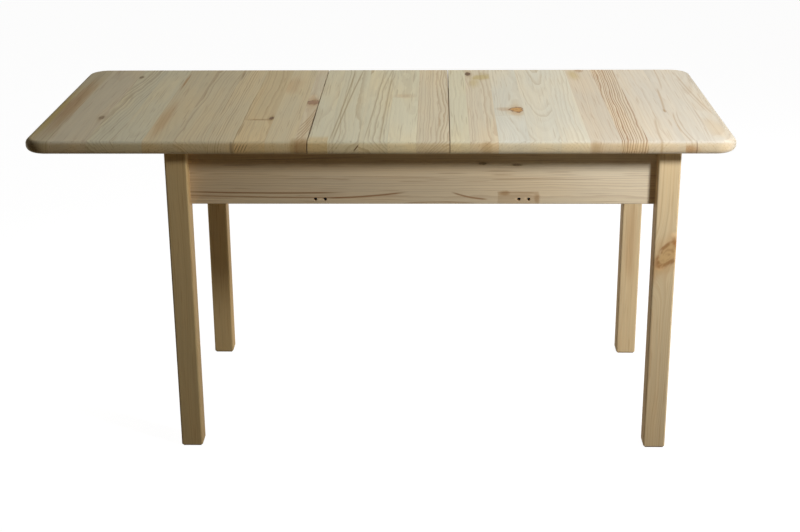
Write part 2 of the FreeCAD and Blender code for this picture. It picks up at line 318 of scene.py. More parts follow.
class RingGroup(RecipeGroup):
    """Growth rings round a wandering pith, cut by a board that is measured in metres.

    Its outputs are late wood, fine fibre, soft veins, slow tone and resin streaks. Scales are in waves per
    metre across, along and through the board.
    """

    SWAY_SCALE = (5.0, 2.4, 5.0)
    RIPPLE_SCALE = (48.0, 12.0, 48.0)
    FIBRE_SCALE = (900.0, 14.0, 900.0)
    VEIN_SCALE = (170.0, 3.0, 170.0)
    TONE_SCALE = (16.0, 2.6, 16.0)
    STREAK_SCALE = (330.0, 11.0, 330.0)
    # Years for each ring's width at the pith, and how they crowd with each metre outwards
    AT_PITH = 0.6
    CROWDING = 5.0
    # Wide and narrow years: waves per year, and their size in years
    UNEVEN_SCALE = (0.45, 1.0, 1.0)
    UNEVEN_YEARS = 2.6
    RIPPLE_YEARS = 1.1
    # Parts of a year in which the wood darkens and turns pale again
    DARKENING = (0.25, 0.88)
    PALING = (0.90, 1.0)
    WEAK_YEARS = 1.5
    HEART_EDGE = (0.9, 1.2)
    OUTER_SHARE = 0.35
    STREAK_LEVELS = (0.64, 0.76)
    # What each pattern adds to the board's seed
    VEIN_SEED = 11.0
    TONE_SEED = 7.0
    STREAK_SEED = 3.0

    def __init__(self) -> None:
        """Wire the rings."""
        numbers = ("Pith Across", "Pith Through", "Lean Across", "Lean Through", "Ring", "Heart", "Random",
                   "Wander", "Seed")
        super().__init__("pine_rings", {"Board": "Vector", **dict.fromkeys(numbers, "Float")},
                         dict.fromkeys(("Late", "Fibre", "Vein", "Tone", "Streak"), "Float"))
        bench, given = self.bench, self.start
        board, seed = given["Board"], given["Seed"]
        across, along, through = bench.split(board)
        sway = bench.split(bench.noise(board, self.SWAY_SCALE, seed)[1])
        wander = bench.math("MULTIPLY", given["Wander"], 2.0)
        out = []
        for side, place, drift in (("Across", across, sway[0]), ("Through", through, sway[1])):
            pith = bench.math("MULTIPLY_ADD", given["Lean " + side], along, given["Pith " + side])
            pith = bench.math("MULTIPLY_ADD", bench.math("SUBTRACT", drift, 0.5), wander, pith)
            out.append(bench.math("SUBTRACT", place, pith))
        radius = bench.vector_math("LENGTH", bench.vector(out[0], out[1], 0.0))
        crowding = bench.math("MULTIPLY_ADD", radius, self.CROWDING, self.AT_PITH)
        years = bench.math("DIVIDE", bench.math("MULTIPLY", radius, crowding), given["Ring"])
        uneven = bench.noise(bench.vector(years, 0.0, 0.0), self.UNEVEN_SCALE, seed, 1.0)[0]
        years = bench.math("MULTIPLY_ADD", uneven, self.UNEVEN_YEARS, years)
        ripple = bench.noise(board, self.RIPPLE_SCALE, seed)[0]
        years = bench.math("MULTIPLY_ADD", ripple, self.RIPPLE_YEARS, years)
        part = bench.math("FRACT", years)
        late = bench.math("MULTIPLY", bench.step(part, *self.DARKENING), bench.fall(part, *self.PALING))
        year = bench.add("TexWhiteNoise", noise_dimensions="1D")
        bench.feed(year.inputs["W"], bench.math("ADD", bench.math("FLOOR", years), seed))
        strong = bench.math("POWER", year.outputs["Value"], self.WEAK_YEARS)
        weaker = bench.math("MULTIPLY", bench.math("SUBTRACT", 1.0, strong), given["Random"])
        late = bench.math("MULTIPLY", late, bench.math("SUBTRACT", 1.0, weaker))
        from_heart = bench.math("DIVIDE", radius, given["Heart"])
        fade = bench.step(from_heart, *self.HEART_EDGE, 1.0, self.OUTER_SHARE)
        bench.feed(self.end["Late"], bench.math("MULTIPLY", late, fade))
        bench.feed(self.end["Fibre"], bench.noise(board, self.FIBRE_SCALE, seed)[0])
        vein = bench.noise(board, self.VEIN_SCALE, bench.math("ADD", seed, self.VEIN_SEED))[0]
        bench.feed(self.end["Vein"], vein)
        tone = bench.noise(board, self.TONE_SCALE, bench.math("ADD", seed, self.TONE_SEED))[0]
        bench.feed(self.end["Tone"], tone)
        streak = bench.noise(board, self.STREAK_SCALE, bench.math("ADD", seed, self.STREAK_SEED), 0.0)[0]
        bench.feed(self.end["Streak"], bench.step(streak, *self.STREAK_LEVELS))


class BlotGroup(RecipeGroup):
    """Distance from the middle of a ragged oval or box, 1 at its edge, and the offset in half sizes."""

    RAGGED_SCALE = (1.3, 1.3, 0.4)

    def __init__(self) -> None:
        """Wire the distances."""
        super().__init__(
            "ragged_blot",
            {"Board": "Vector", "Middle": "Vector", "Half": "Vector", "Ragged": "Float", "Seed": "Float",
             "Tilt": "Float"},
            {"Offset": "Vector", "Oval": "Float", "Box": "Float"})
        bench, given = self.bench, self.start
        turn = bench.add("VectorRotate", rotation_type="Z_AXIS")
        bench.feed(turn.inputs["Vector"], bench.vector_math("SUBTRACT", given["Board"], given["Middle"]))
        bench.feed(turn.inputs["Angle"], given["Tilt"])
        offset = bench.vector_math("DIVIDE", turn.outputs[0], given["Half"])
        bench.feed(self.end["Offset"], offset)
        stray = bench.noise(offset, self.RAGGED_SCALE, given["Seed"])[1]
        stray = bench.vector_math("SUBTRACT", stray, (0.5, 0.5, 0.5))
        reach = bench.math("MULTIPLY", given["Ragged"], 2.0)
        stray = bench.vector_math("MULTIPLY", stray, bench.vector(reach, reach, 0.0))
        ragged = bench.vector_math("ADD", offset, stray)
        bench.feed(self.end["Oval"], bench.vector_math("LENGTH", ragged))
        sides = bench.split(bench.vector_math("ABSOLUTE", ragged))
        widest = bench.math("MAXIMUM", sides[0], sides[1])
        bench.feed(self.end["Box"], bench.math("MAXIMUM", widest, sides[2]))


class KnotGroup(RecipeGroup):
    """One knot: an uneven oval through the board, and grain that flows round it.

    Its outputs are the bent board coordinates and the knot's masks. Edges are in half sizes of the knot.
    """

    HEART_EDGE = (0.70, 1.0)
    RIM_INSIDE = (0.55, 0.92)
    RIM_OUTSIDE = (0.95, 1.25)
    STAIN_EDGE = (0.8, 2.4)
    TAIL_SIDE = (0.1, 1.0)
    TAIL_END = (0.8, 5.0)
    RING_WAVES = 17.0
    # Where the rim and the knot's own rings break off
    BROKEN_SCALE = (1.6, 1.6, 0.4)
    BROKEN_LEVELS = (0.36, 0.60)
    BROKEN_SEED = 5.0
    # Grain that bends: the bend's shape across and along, where it fades, and its strength
    BEND_SHAPE = (1.0, 0.40, 0.0)
    BEND_EDGE = (0.5, 3.6)
    BEND_SHARE = 0.80

    def __init__(self, blot: BlotGroup) -> None:
        """Wire the knot.

        Args:
            blot: The ragged oval's group.
        """
        shared = {"Board": "Vector", "Middle": "Vector", "Half": "Vector", "Ragged": "Float",
                  "Seed": "Float", "Tilt": "Float"}
        masks = ("Heart", "Rim", "Stain", "Tail", "Rings")
        super().__init__("pine_knot", {**shared, "Warped": "Vector"},
                         {"Warped": "Vector", **dict.fromkeys(masks, "Float")})
        bench, given = self.bench, self.start
        oval = blot.use(bench, {label: given[label] for label in shared})
        reach, offset = oval["Oval"], oval["Offset"]
        side, up, _ = bench.split(bench.vector_math("ABSOLUTE", offset))
        broken_seed = bench.math("ADD", given["Seed"], self.BROKEN_SEED)
        broken = bench.step(bench.noise(offset, self.BROKEN_SCALE, broken_seed)[0], *self.BROKEN_LEVELS)
        bench.feed(self.end["Heart"], bench.fall(reach, *self.HEART_EDGE))
        rim = bench.math("MULTIPLY", bench.step(reach, *self.RIM_INSIDE), broken)
        rim = bench.math("MULTIPLY", rim, bench.fall(reach, *self.RIM_OUTSIDE))
        bench.feed(self.end["Rim"], rim)
        bench.feed(self.end["Stain"], bench.fall(reach, *self.STAIN_EDGE))
        tail = bench.math("MULTIPLY", bench.fall(side, *self.TAIL_SIDE), bench.fall(up, *self.TAIL_END))
        bench.feed(self.end["Tail"], tail)
        waves = bench.math("SINE", bench.math("MULTIPLY", reach, self.RING_WAVES))
        rings = bench.math("MULTIPLY_ADD", waves, 0.5, 0.5)
        bench.feed(self.end["Rings"], bench.math("MULTIPLY", rings, broken))
        far = bench.vector_math("LENGTH", bench.vector_math("MULTIPLY", offset, self.BEND_SHAPE))
        pull = bench.fall(far, *self.BEND_EDGE, self.BEND_SHARE)
        back = bench.vector_math("SUBTRACT", given["Board"], given["Middle"])
        back = bench.vector_math("MULTIPLY", back, bench.vector(pull, 0.0, 0.0))
        bench.feed(self.end["Warped"], bench.vector_math("SUBTRACT", given["Warped"], back))


@dataclass(frozen=True)
class Knot:
    """A knot on a board's face, placed in the table's frame in metres."""

    across: float
    along: float
    half_width: float
    half_length: float
    kind: KnotKind
    ragged: float = 0.35
    tilt: float = 0.0


@dataclass(frozen=True)
class Mark:
    """A stain, or a patch of painted light or shade, in a board, placed in the table's frame in metres.

    Attributes:
        across: Its middle across the grain.
        along: Its middle along the grain.
        half_width: Half its size across the grain.
        half_length: Half its size along the grain.
        colour: What the wood's colour is multiplied by.
        strength: How much of that colour shows, 0 to 1.
        ragged: How uneven its outline is.
        boxed: Square, as the end of a glued piece, instead of oval.
        soft: Share of its half size over which it fades.
        height: Its middle through the board, from the board's middle.
        half_height: Half its size through the board.
        slant: How far it leans across the grain for each metre through the board.
    """

    across: float
    along: float
    half_width: float
    half_length: float
    colour: Colour
    strength: float
    ragged: float = 0.4
    boxed: bool = False
    soft: float = 0.8
    height: float = 0.0
    half_height: float = 1.0
    slant: float = 0.0


@dataclass(frozen=True)
class GrainLine:
    """One year's dark line that stands out on a board's face, curved through three places.

    Attributes:
        start: Where it starts, along and across the grain, in the table's frame in metres.
        middle: A place on its way.
        end: Where it ends.
        half_width: Half its width.
        strength: How dark it shows, 0 to 1.
    """

    start: Pair
    middle: Pair
    end: Pair
    half_width: float
    strength: float


@dataclass(frozen=True)
class PineFinish:
    """Bare sanded pine of one board.

    Attributes:
        tone: Colours of the wood.
        cut: How the board was sawn from its log.
        ring: Width of a year's growth in metres.
        lean: How fast the pith leaves the board's line, across and through.
        heart: Radius inside which rings show fully, in metres.
        random: How much the strength of the rings differs from year to year, 0 to 1.
        wander: How far the grain strays, in metres.
        contrast: How strongly this board's rings show for its tone.
        flip: Turns the pith to the board's other side.
        joints: Places along the board of glued end joints.
        knots: Knots on the board.
        marks: Stains, and patches of painted light and shade, on the board.
        lines: Year lines that stand out on the board.
        block_paler: How much paler each piece in front of an end joint is.
    """

    tone: Tone
    cut: Cut = Cut.RIFT
    ring: float = 0.0075
    lean: Pair = (0.010, 0.014)
    heart: float = 1.0
    random: float = 0.8
    wander: float = 0.012
    contrast: float = 1.0
    flip: bool = False
    joints: tuple[float, ...] = ()
    knots: tuple[Knot, ...] = ()
    marks: tuple[Mark, ...] = ()
    lines: tuple[GrainLine, ...] = ()
    block_paler: float = 0.06


@dataclass(frozen=True)
class Board:
    """A board's coordinates on its material: across, along and through its grain from its middle."""

    place: Socket
    middle: Vector
    half: Vector

    def spot(self, across: float, along: float, height: float = 0.0) -> Vector:
        """A place in the table's frame, seen from the board's middle."""
        return Vector((across - self.middle[0], along - self.middle[1], height))


@dataclass(frozen=True)
class Grain:
    """Grain of one board: its rings, its knots, the number of each glued piece and the joints' lines."""

    rings: bpy.types.NodeOutputs
    knots: list[tuple[Knot, bpy.types.NodeOutputs]]
    block: Feed
    line: Feed


class PineShop:
    """Makes a pine material for each board from shared node groups."""

    # How much the fine patterns change the wood's colour
    FIBRE_SHARE = 0.08
    VEIN_SHARE = 0.09
    TONE_SHARE = 0.16
    STREAK_SHARE = 0.30
    WARM_TINT = paint(255, 241, 218)
    WARM_LEVELS = (0.40, 0.75)
    WARM_SHARE = 0.4
    # How strongly the masks of a knot show
    STAIN_SHARE = 0.40
    TAIL_SHARE = 0.30
    KNOT_RING_SHARE = 0.45
    HEART_SHARE = 0.90
    RIM_SHARE = 0.80
    # Glue lines between staves and at end joints, in metres
    GLUE_LINE = 0.0005
    GLUE_SHARE = 0.22
    JOINT_LINE = (0.0002, 0.0007)
    JOINT_SHARE = 0.6
    LINE_FADE = 0.2
    # End grain: how squarely a face cuts the grain, its tint, its rings
    END_GRAIN_FACING = (0.5, 0.95)
    END_GRAIN_TINT = (0.97, 0.86, 0.68)
    END_GRAIN_RINGS = 0.8
    # How the log differs from board to board, and in front of an end joint
    PITH_NUDGE = 0.014
    NUDGE_TURN = 2.4
    BLOCK_ACROSS = 0.019
    BLOCK_THROUGH = -0.011
    BLOCK_SEED = 2.3
    KNOT_SEED = 0.7
    MARK_SEED = 3.1
    # Sanded surface
    ROUGHNESS = 0.72
    LATE_ROUGHER = -0.08
    FIBRE_ROUGHER = 0.10
    END_GRAIN_ROUGHER = 0.15
    GLOSS = 0.25
    BUMP_STRENGTH = 0.5
    BUMP_HEIGHT = 0.00012
    FIBRE_BUMP = 0.6

    def __init__(self) -> None:
        """Make the shared groups."""
        self.rings = RingGroup()
        self.blot = BlotGroup()
        self.knot = KnotGroup(self.blot)

    def board_space(self, bench: Bench, node: str, axis: GrainAxis) -> Board:
        """Coordinates of a board from its middle.

        Args:
            bench: Bench of the board's material.
            node: Name of the board's node.
            axis: Direction of the grain.

        Returns:
            The board's coordinates, middle and half sizes.
        """
        low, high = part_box(node)
        order = ["XYZ".index(letter) for letter in axis.value]
        middle = Vector([(low[index] + high[index]) / 2 for index in order])
        half = Vector([(high[index] - low[index]) / 2 for index in order])
        parts = bench.split(bench.add("TexCoord").outputs["Object"])
        turned = bench.vector(*(parts[index] for index in order))
        return Board(bench.vector_math("SUBTRACT", turned, middle), middle, half)

    def grain(self, bench: Bench, board: Board, finish: PineFinish, seed: float) -> Grain:
        """Rings and fibre of a board, bent round its knots and changed at its glued joints.

        Args:
            bench: Bench of the board's material.
            board: The board's coordinates.
            finish: The board's finish.
            seed: Seed of the board's own pattern.

        Returns:
            The board's grain.
        """
        warped = board.place
        knots = []
        for number, knot in enumerate(finish.knots):
            made = self.knot.use(bench, {
                "Board": board.place, "Warped": warped, "Middle": board.spot(knot.across, knot.along),
                "Half": (knot.half_width, knot.half_length, 1.0), "Ragged": knot.ragged,
                "Seed": seed + self.KNOT_SEED * number, "Tilt": knot.tilt})
            warped = made["Warped"]
            knots.append((knot, made))
        _, along, _ = bench.split(board.place)
        block: Feed = 0.0
        line: Feed = 0.0
        for joint in finish.joints:
            place = joint - board.middle[1]
            block = bench.math("ADD", block, bench.math("LESS_THAN", along, place))
            near = bench.math("ABSOLUTE", bench.math("SUBTRACT", along, place))
            line = bench.math("MAXIMUM", line, bench.fall(near, *self.JOINT_LINE))
        side = -1.0 if finish.flip else 1.0
        pith_across, pith_through = finish.cut.value
        pith_across = side * (pith_across + self.PITH_NUDGE * math.sin(self.NUDGE_TURN * seed))
        rings = self.rings.use(bench, {
            "Board": warped,
            "Pith Across": bench.math("MULTIPLY_ADD", block, self.BLOCK_ACROSS * side, pith_across),
            "Pith Through": bench.math("MULTIPLY_ADD", block, self.BLOCK_THROUGH, pith_through),
            "Lean Across": finish.lean[0], "Lean Through": finish.lean[1], "Ring": finish.ring,
            "Heart": finish.heart, "Random": finish.random, "Wander": finish.wander,
            "Seed": bench.math("MULTIPLY_ADD", block, self.BLOCK_SEED, seed)})
        return Grain(rings, knots, block, line)

    def colour(self, bench: Bench, board: Board, finish: PineFinish, grain: Grain, end_grain: Socket,
               seed: float) -> Socket:
        """Colour of a board from its grain, stains, painted light and shade, and knots.

        Args:
            bench: Bench of the board's material.
            board: The board's coordinates.
            finish: The board's finish.
            grain: The board's grain.
            end_grain: Share of end grain in the face that is seen.
            seed: Seed of the board's own pattern.

        Returns:
            The colour's socket.
        """
        rings = grain.rings
        early, late, strength = finish.tone.value
        shown = bench.math("MULTIPLY_ADD", end_grain, self.END_GRAIN_RINGS - 1.0, 1.0)
        shown = bench.math("MULTIPLY", shown, strength * finish.contrast)
        colour = bench.mix(bench.math("MULTIPLY", rings["Late"], shown), early, late)
        level = bench.math("MULTIPLY_ADD", grain.block, finish.block_paler, 1.0)
        shares = {"Tone": self.TONE_SHARE, "Vein": self.VEIN_SHARE, "Fibre": self.FIBRE_SHARE}
        for name, share in shares.items():
            change = bench.math("MULTIPLY_ADD", rings[name], 2 * share, 1 - share)
            level = bench.math("MULTIPLY", level, change)
        colour = bench.shade(colour, level)
        warm = bench.step(rings["Tone"], *self.WARM_LEVELS, 0.0, self.WARM_SHARE)
        colour = bench.mix(warm, colour, self.WARM_TINT, "MULTIPLY")
        colour = bench.mix(bench.math("MULTIPLY", rings["Streak"], self.STREAK_SHARE), colour, late)
        for number, mark in enumerate(finish.marks):
            share = self.draw_mark(bench, board, mark, seed + self.MARK_SEED * number)
            colour = bench.mix(share, colour, mark.colour, "MULTIPLY")
        for line in finish.lines:
            colour = bench.mix(self.draw_line(bench, board, line), colour, late)
        for knot, made in grain.knots:
            heart, rim, stain = knot.kind.value
            for mask, share in (("Stain", self.STAIN_SHARE), ("Tail", self.TAIL_SHARE)):
                colour = bench.mix(bench.math("MULTIPLY", made[mask], share), colour, stain, "MULTIPLY")
            inner = bench.mix(bench.math("MULTIPLY", made["Rings"], self.KNOT_RING_SHARE), heart, rim)
            colour = bench.mix(bench.math("MULTIPLY", made["Heart"], self.HEART_SHARE), colour, inner)
            colour = bench.mix(bench.math("MULTIPLY", made["Rim"], self.RIM_SHARE), colour, rim)
        colour = bench.mix(bench.math("MULTIPLY", grain.line, self.JOINT_SHARE), colour, late)
        across, _, _ = bench.split(bench.vector_math("ABSOLUTE", board.place))
        glue = bench.step(across, board.half[0] - self.GLUE_LINE, board.half[0], 0.0, self.GLUE_SHARE)
        return bench.mix(glue, colour, late)

    def draw_mark(self, bench: Bench, board: Board, mark: Mark, seed: float) -> Socket:
        """Share of a stain or of a patch of painted light or shade.

        Args:
            bench: Bench of the board's material.
            board: The board's coordinates.
            mark: The stain.
            seed: Seed of its ragged outline.

        Returns:
            The share's socket.
        """
        across, along, through = bench.split(board.place)
        upright = bench.math("MULTIPLY_ADD", through, -mark.slant, across)
        blot = self.blot.use(bench, {
            "Board": bench.vector(upright, along, through),
            "Middle": board.spot(mark.across, mark.along, mark.height),
            "Half": (mark.half_width, mark.half_length, mark.half_height),
            "Ragged": mark.ragged, "Seed": seed})
        return bench.fall(blot["Box" if mark.boxed else "Oval"], 1.0 - mark.soft, 1.0, mark.strength)

    def draw_line(self, bench: Bench, board: Board, line: GrainLine) -> Socket:
        """Share of a year line that stands out.

        Args:
            bench: Bench of the board's material.
            board: The board's coordinates.
            line: The line.

        Returns:
            The share's socket.
        """
        start, middle, end = ((along - board.middle[1], across - board.middle[0])
                              for along, across in (line.start, line.middle, line.end))
        first_slope = (middle[1] - start[1]) / (middle[0] - start[0])
        last_slope = (end[1] - middle[1]) / (end[0] - middle[0])
        bend = (last_slope - first_slope) / (end[0] - start[0])
        across, along, _ = bench.split(board.place)
        slope = bench.math("MULTIPLY_ADD", bench.math("SUBTRACT", along, middle[0]), bend, first_slope)
        rise = bench.math("MULTIPLY_ADD", bench.math("SUBTRACT", along, start[0]), slope, start[1])
        off = bench.math("ABSOLUTE", bench.math("SUBTRACT", across, rise))
        share = bench.fall(off, 0.0, line.half_width, line.strength)
        fade = self.LINE_FADE * (end[0] - start[0])
        share = bench.math("MULTIPLY", share, bench.step(along, start[0], start[0] + fade))
        return bench.math("MULTIPLY", share, bench.fall(along, end[0] - fade, end[0]))

    def dress(self, node: str, finish: PineFinish, axis: GrainAxis, seed: float) -> None:
        """Give a board its own pine material.

        Args:
            node: Name of the board's node.
            finish: The board's finish.
            axis: Direction of the grain.
            seed: Seed of the board's own pattern.
        """
        material = bpy.data.materials.new("pine_" + node)
        material.use_nodes = True
        bench = Bench(material.node_tree)
        shader = material.node_tree.nodes["Principled BSDF"]
        board = self.board_space(bench, node, axis)
        grain = self.grain(bench, board, finish, seed)
        late, fibre = grain.rings["Late"], grain.rings["Fibre"]
        facing = bench.split(bench.add("TexCoord").outputs["Normal"])["XYZ".index(axis.value[1])]
        end_grain = bench.step(bench.math("ABSOLUTE", facing), *self.END_GRAIN_FACING)
        colour = self.colour(bench, board, finish, grain, end_grain, seed)
        colour = bench.mix(end_grain, colour, self.END_GRAIN_TINT, "MULTIPLY")
        bench.feed(shader.inputs["Base Color"], colour)
        rough = bench.math("MULTIPLY_ADD", late, self.LATE_ROUGHER, self.ROUGHNESS)
        rough = bench.math("MULTIPLY_ADD", fibre, self.FIBRE_ROUGHER, rough)
        rough = bench.math("MULTIPLY_ADD", end_grain, self.END_GRAIN_ROUGHER, rough)
        bench.feed(shader.inputs["Roughness"], rough)
        shader.inputs["Specular IOR Level"].default_value = self.GLOSS
        height = bench.math("MULTIPLY_ADD", fibre, self.FIBRE_BUMP, late)
        bench.feed(shader.inputs["Normal"], bench.bump(height, self.BUMP_STRENGTH, self.BUMP_HEIGHT))
        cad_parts[node].material_slots[0].material = material
        log.info("%s: %s pine, %d knots", node, finish.tone.name.lower(), len(finish.knots))


@dataclass
class Leaf:
    """One leaf of the top, glued up from staves that run from front to back."""

    name: str
    seed: float
    staves: tuple[PineFinish, ...]
    stave_seed: float = 1.7

    def dress(self, shop: PineShop) -> None:
        """Give each stave its own pine.

        Args:
            shop: Maker of pine materials.
        """
        for number, finish in enumerate(self.staves, 1):
            seed = self.seed + self.stave_seed * number
            shop.dress(f"{self.name}_stave_{number}", finish, GrainAxis.Y, seed)


@dataclass(frozen=True)
class PlainFinish:
    """A plain procedural finish with fine mottling, for hidden hardwood and fasteners.

    Attributes:
        name: Name of the material.
        colour: One of the mottling's colours.
        other: The other one.
        roughness: Middle of its roughness.
        metallic: 1 for metal.
        mottle: Waves of the mottling per metre.
    """

    name: str
    colour: Colour
    other: Colour
    roughness: float
    metallic: float
    mottle: float

    MOTTLE_SEED = 1.0
    MOTTLE_DETAIL = 3.0
    ROUGH_SPREAD = 0.2
    BUMP_STRENGTH = 0.3
    BUMP_HEIGHT = 0.0001

    def make(self) -> bpy.types.Material:
        """Make the material.

        Returns:
            The material.
        """
        material = bpy.data.materials.new(self.name)
        material.use_nodes = True
        bench = Bench(material.node_tree)
        shader = material.node_tree.nodes["Principled BSDF"]
        place = bench.add("TexCoord").outputs["Object"]
        scale = (self.mottle, self.mottle, self.mottle)
        mottle = bench.noise(place, scale, self.MOTTLE_SEED, self.MOTTLE_DETAIL)[0]
        bench.feed(shader.inputs["Base Color"], bench.mix(mottle, self.colour, self.other))
        smoothest = self.roughness - self.ROUGH_SPREAD / 2
        rough = bench.math("MULTIPLY_ADD", mottle, self.ROUGH_SPREAD, smoothest)
        bench.feed(shader.inputs["Roughness"], rough)
        shader.inputs["Metallic"].default_value = self.metallic
        bench.feed(shader.inputs["Normal"], bench.bump(mottle, self.BUMP_STRENGTH, self.BUMP_HEIGHT))
        return material


@dataclass
class Underframe:
    """Legs, aprons, corner blocks, bearers, guides and their fasteners.

    Seeds are the first one of a kind and the steps to the next ones.
    """

    legs: dict[str, PineFinish]
    aprons: dict[str, PineFinish]
    inner: PineFinish
    beech: PlainFinish
    screws: PlainFinish
    bolts: PlainFinish
    rows: tuple[str, str] = ("front", "rear")
    sides: tuple[str, str] = ("left", "right")
    leg_seeds: Pair = (40.0, 2.1)
    apron_seeds: Pair = (60.0, 3.3)
    bearer_seeds: Pair = (80.0, 1.0)
    block_seeds: Triple = (90.0, 1.0, 3.0)

    def dress(self, shop: PineShop) -> None:
        """Finish every piece of the frame.

        Args:
            shop: Maker of pine materials.
        """
        first, step = self.leg_seeds
        for number, (node, finish) in enumerate(self.legs.items()):
            shop.dress(node, finish, GrainAxis.Z, first + step * number)
        first, step = self.apron_seeds
        for number, (node, finish) in enumerate(self.aprons.items()):
            axis = GrainAxis.X if node in ("front_apron", "rear_apron") else GrainAxis.Y
            shop.dress(node, finish, axis, first + step * number)
        first, step = self.bearer_seeds
        for number, side in enumerate(self.sides):
            shop.dress(f"{side}_bearer", self.inner, GrainAxis.Y, first + step * number)
        first, side_step, row_step = self.block_seeds
        for number, side in enumerate(self.sides):
            for count, row in enumerate(self.rows):
                seed = first + side_step * number + row_step * count
                shop.dress(f"{row}_{side}_corner_block", self.inner, GrainAxis.X, seed)
        self.coat(self.beech, ("guide", "runner", "dowels", "pins"))
        self.coat(self.screws, ("screws",))
        self.coat(self.bolts, ("bolts", "washers", "nuts"))

    def coat(self, finish: PlainFinish, endings: tuple[str, ...]) -> None:
        """Give one finish to all nodes whose names end in one of some words.

        Args:
            finish: The finish.
            endings: Last words of the nodes' names.
        """
        material = finish.make()
        for name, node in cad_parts.items():
            if name.endswith(endings):
                node.material_slots[0].material = material
                log.info("%s: %s", name, finish.name)


@dataclass
class Lamp:
    """A square soft lamp, in metres and watts."""

    name: str
    place: Triple
    target: Triple
    size: float
    power: float
    colour: Colour

    def hang(self) -> None:
        """Hang the lamp where only its light shows."""
        data = bpy.data.lights.new(self.name, "AREA")
        data.shape = "SQUARE"
        data.size = self.size
        data.energy = self.power
        data.color = self.colour
        panel = bpy.data.objects.new(self.name, data)
        panel.location = self.place
        aim = Vector(self.target) - Vector(self.place)
        panel.rotation_euler = aim.to_track_quat("-Z", "Y").to_euler()
        panel.visible_camera = False
        bpy.context.scene.collection.objects.link(panel)


@dataclass
class Studio:
    """Floor, lamps, sky and camera, with the camera's angles in degrees.

    Attributes:
        lamps: The lamps.
        sky_colour: Colour of the light from all round.
        sky_strength: Its strength.
        bounce: Colour that the floor throws back on to the table.
        eye: Where the photograph was taken from.
        yaw: Turn of the camera to the right.
        pitch: Its turn upwards.
        roll: Its turn about its own line of sight.
        focal_pixels: Focal length in pixels of the photograph.
        sensor: Width of the camera's sensor in millimetres.
        floor_size: Length of the floor's sides.
        floor_glow: Light that the floor shows of itself, just under white.
        floor_matt: Lit share of the floor that is seen, which takes the table's shadow.
    """

    lamps: tuple[Lamp, ...]
    sky_colour: Colour
    sky_strength: float
    bounce: Colour
    eye: Triple = (0.12087, -3.33993, 1.54402)
    yaw: float = -1.48
    pitch: float = -19.94
    roll: float = -0.42
    focal_pixels: float = 1486.2
    sensor: float = 36.0
    floor_size: float = 60.0
    floor_glow: float = 0.965
    floor_matt: float = 0.2

    def build(self) -> None:
        """Set up the whole studio."""
        self.lay_floor()
        for lamp in self.lamps:
            lamp.hang()
        self.fill_sky()
        self.place_camera()

    def seen(self, bench: Bench) -> Socket:
        """A share of 1 for rays that show the surroundings, directly or in gloss and glass.

        Args:
            bench: Bench of the material or sky that asks.

        Returns:
            The share's socket.
        """
        rays = bench.add("LightPath").outputs
        show = bench.math("MAXIMUM", rays["Is Camera Ray"], rays["Is Glossy Ray"])
        return bench.math("MAXIMUM", show, rays["Is Transmission Ray"])

    def lay_floor(self) -> None:
        """Plain pale floor that shows white with a light shadow."""
        mesh = bpy.data.meshes.new("floor")
        half = self.floor_size / 2
        corners = [(-half, -half, 0.0), (half, -half, 0.0), (half, half, 0.0), (-half, half, 0.0)]
        mesh.from_pydata(corners, [], [(0, 1, 2, 3)])
        floor = bpy.data.objects.new("floor", mesh)
        bpy.context.scene.collection.objects.link(floor)
        material = bpy.data.materials.new("floor_white")
        material.use_nodes = True
        bench = Bench(material.node_tree)
        nodes = material.node_tree.nodes
        nodes.remove(nodes["Principled BSDF"])
        matt = bench.add("BsdfDiffuse")
        bench.feed(matt.inputs["Color"], self.bounce)
        faint = bench.add("BsdfDiffuse")
        bench.feed(faint.inputs["Color"], (self.floor_matt, self.floor_matt, self.floor_matt))
        glow = bench.add("Emission")
        glow.inputs["Strength"].default_value = self.floor_glow
        white = bench.add("AddShader")
        bench.feed(white.inputs[0], faint.outputs[0])
        bench.feed(white.inputs[1], glow.outputs[0])
        both = bench.add("MixShader")
        for socket, value in zip(both.inputs, (self.seen(bench), matt.outputs[0], white.outputs[0])):
            bench.feed(socket, value)
        bench.feed(nodes["Material Output"].inputs["Surface"], both.outputs[0])
        mesh.materials.append(material)

    def fill_sky(self) -> None:
        """Even light from all round, shown as white to the camera and in reflections."""
        world = bpy.data.worlds.new("studio_sky")
        bpy.context.scene.world = world
        world.use_nodes = True
        bench = Bench(world.node_tree)
        sky = world.node_tree.nodes["Background"]
        show = self.seen(bench)
        bench.feed(sky.inputs["Color"], bench.mix(show, self.sky_colour, (1.0, 1.0, 1.0)))
        strength = bench.math("MULTIPLY_ADD", show, 1.0 - self.sky_strength, self.sky_strength)
        bench.feed(sky.inputs["Strength"], strength)

    def place_camera(self) -> None:
        """Camera where the photograph was taken from."""
        data = bpy.data.cameras.new("camera")
        data.sensor_fit = "HORIZONTAL"
        data.sensor_width = self.sensor
        data.lens = self.focal_pixels / IMAGE_WIDTH * self.sensor
        camera = bpy.data.objects.new("camera", data)
        yaw, pitch, roll = (math.radians(angle) for angle in (self.yaw, self.pitch, self.roll))
        turn = (Matrix.Rotation(-yaw, 4, "Z") @ Matrix.Rotation(math.pi / 2 + pitch, 4, "X")
                @ Matrix.Rotation(roll, 4, "Z"))
        camera.matrix_world = Matrix.Translation(self.eye) @ turn
        bpy.context.scene.collection.objects.link(camera)
        bpy.context.scene.camera = camera
        bpy.context.scene.view_settings.view_transform = "Standard"


# Stains, and painted light and shade: what the wood's colour is multiplied by
RUST = paint(214, 178, 140)
EARTH = paint(196, 166, 128)
BARK = paint(178, 142, 102)
MOSS = paint(226, 214, 160)
PITCH = paint(120, 84, 52)
CHIP = (1.35, 1.32, 1.28)
# Pales and cools the wood: on a right-leaf stave it is a paler glued piece, and on the front apron it is
# painted light on the brighter right end
SAP_AND_PAINTED_LIGHT = (1.12, 1.19, 1.31)
